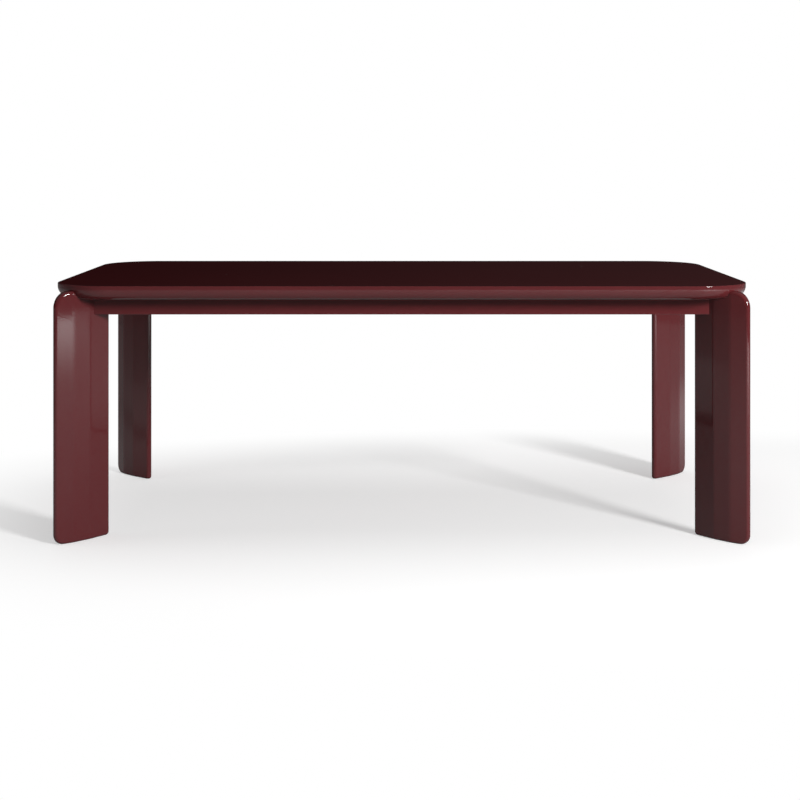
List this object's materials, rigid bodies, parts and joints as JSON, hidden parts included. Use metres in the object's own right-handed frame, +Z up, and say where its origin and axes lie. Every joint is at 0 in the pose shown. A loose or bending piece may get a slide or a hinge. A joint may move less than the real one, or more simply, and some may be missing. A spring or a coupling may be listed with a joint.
{
  "type": "dining table",
  "caption": "Long rectangular dining table with rounded corners, a slab top and broad, softly faceted legs set diagonally at the corners, in dark red gloss lacquer.",
  "frame": {"origin": "on the floor, under the middle of the table", "axes": "+X along the table, +Y from its front long side to its back, +Z up"},
  "size_m": [2.088, 1.042, 0.76],
  "materials": {
    "lacquer": "high-gloss dark red lacquer",
    "frame_wood": "unlacquered beech",
    "steel": "zinc plated",
    "nylon": "moulded nylon"
  },
  "bodies": {
    "root": {"tabletop": "lacquer", "front_rail": "lacquer", "back_rail": "lacquer", "left_end_rail": "lacquer", "right_end_rail": "lacquer", "leg_front_left": "lacquer", "leg_front_right": "lacquer", "leg_back_left": "lacquer", "leg_back_right": "lacquer", "cross_rail_1": "frame_wood", "cross_rail_2": "frame_wood", "cross_rail_3": "frame_wood", "top_buttons": "frame_wood", "corner_block_front_left": "frame_wood", "corner_block_front_right": "frame_wood", "corner_block_back_left": "frame_wood", "corner_block_back_right": "frame_wood", "hanger_bolts": "steel", "hanger_bolt_nuts": "steel", "backing_plates": "steel", "glides_front_left": "nylon", "glides_front_right": "nylon", "glides_back_left": "nylon", "glides_back_right": "nylon"}
  },
  "joints": []
}
